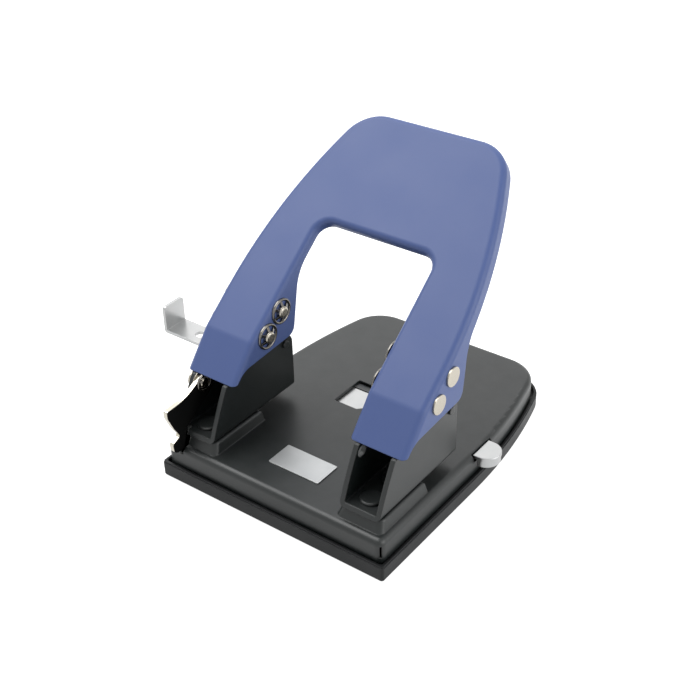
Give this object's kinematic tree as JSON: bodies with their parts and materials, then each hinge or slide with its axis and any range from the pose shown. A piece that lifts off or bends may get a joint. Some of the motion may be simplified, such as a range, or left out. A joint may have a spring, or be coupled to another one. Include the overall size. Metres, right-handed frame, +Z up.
{
  "type": "desk paper punch",
  "caption": "Desk hole punch with a sprung pressed-steel handle, twin towers, a chip tray, a sliding paper guide with a latch, and a handle lock lever.",
  "frame": {"origin": "centre of the tray's footprint, on the table", "axes": "+Z up; +Y from the towers' open fronts to the free end of the handle, where the paper goes in; +X to the right, away from the guide's stop"},
  "size_m": [0.175, 0.1394, 0.1238],
  "materials": {
    "tray_plastic": "dark grey moulded plastic, fine satin texture",
    "black_paint": "black satin enamel on steel",
    "blue_paint": "slate blue satin enamel on steel",
    "bare_plate": "thin bare plate, satin",
    "nickel": "warm nickel plate",
    "zinc": "bright zinc plate",
    "tool_steel": "ground steel, oiled",
    "spring_steel": "drawn spring wire",
    "lever_steel": "blackened faces, bright sheared edge"
  },
  "bodies": {
    "base_assembly": {"base_plate": "black_paint", "label_plate": "bare_plate", "left_die": "tool_steel", "right_die": "tool_steel", "left_tower": "black_paint", "right_tower": "black_paint", "tower_rivets": "black_paint", "left_punch_bridge": "tool_steel", "right_punch_bridge": "tool_steel", "left_punch_spring": "spring_steel", "right_punch_spring": "spring_steel", "lock_pivot": "nickel", "lock_starlock": "nickel", "guide_channel": "zinc", "latch_pin": "zinc", "latch_spring": "spring_steel"},
    "tray_body": {"chip_tray": "tray_plastic"},
    "handle_assembly": {"handle": "blue_paint", "left_fulcrum_pin": "nickel", "right_fulcrum_pin": "nickel", "left_driver_pin": "nickel", "right_driver_pin": "nickel", "fulcrum_starlocks": "nickel", "driver_starlocks": "nickel", "spacer_washers": "nickel"},
    "left_punch_body": {"left_punch": "tool_steel"},
    "right_punch_body": {"right_punch": "tool_steel"},
    "lever_body": {"lock_lever": "lever_steel", "lock_washer": "nickel"},
    "guide_body": {"guide_bar": "zinc"},
    "latch_body": {"guide_latch": "zinc"}
  },
  "joints": [
    {"name": "handle_press", "type": "hinge", "parent": "base_assembly", "child": "handle_assembly", "pos_m": [0, -0.0299, 0.0567], "axis": [-1, 0, 0], "range_deg": [0, 40], "stiffness_Nm_per_rad": 0.34, "springref_deg": -22.92},
    {"name": "left_punch_stroke", "type": "slide", "parent": "base_assembly", "child": "left_punch_body", "axis": [0, 0, -1], "range_m": [0, 0.0075], "deforming": ["left_punch_spring"]},
    {"name": "right_punch_stroke", "type": "slide", "parent": "base_assembly", "child": "right_punch_body", "axis": [0, 0, -1], "range_m": [0, 0.0075], "deforming": ["right_punch_spring"]},
    {"name": "lock_turn", "type": "hinge", "parent": "base_assembly", "child": "lever_body", "pos_m": [-0.04585, -0.0498, 0.0394], "axis": [1, 0, 0], "range_deg": [0, 4]},
    {"name": "guide_slide", "type": "slide", "parent": "base_assembly", "child": "guide_body", "axis": [-1, 0, 0], "range_m": [-0.0405, 0.034]},
    {"name": "latch_press", "type": "hinge", "parent": "base_assembly", "child": "latch_body", "pos_m": [0, 0.0057, 0.0103], "axis": [1, 0, 0], "range_deg": [0, 6], "stiffness_Nm_per_rad": 0.05, "springref_deg": -11.46, "deforming": ["latch_spring"]},
    {"name": "tray_release", "type": "slide", "parent": "base_assembly", "child": "tray_body", "axis": [0, 0, -1], "range_m": [0, 0.02]}
  ],
  "couplings": [
    {"joint": "left_punch_stroke", "follows": "handle_press", "m_per_rad": 0.01065},
    {"joint": "right_punch_stroke", "follows": "handle_press", "m_per_rad": 0.01065}
  ]
}
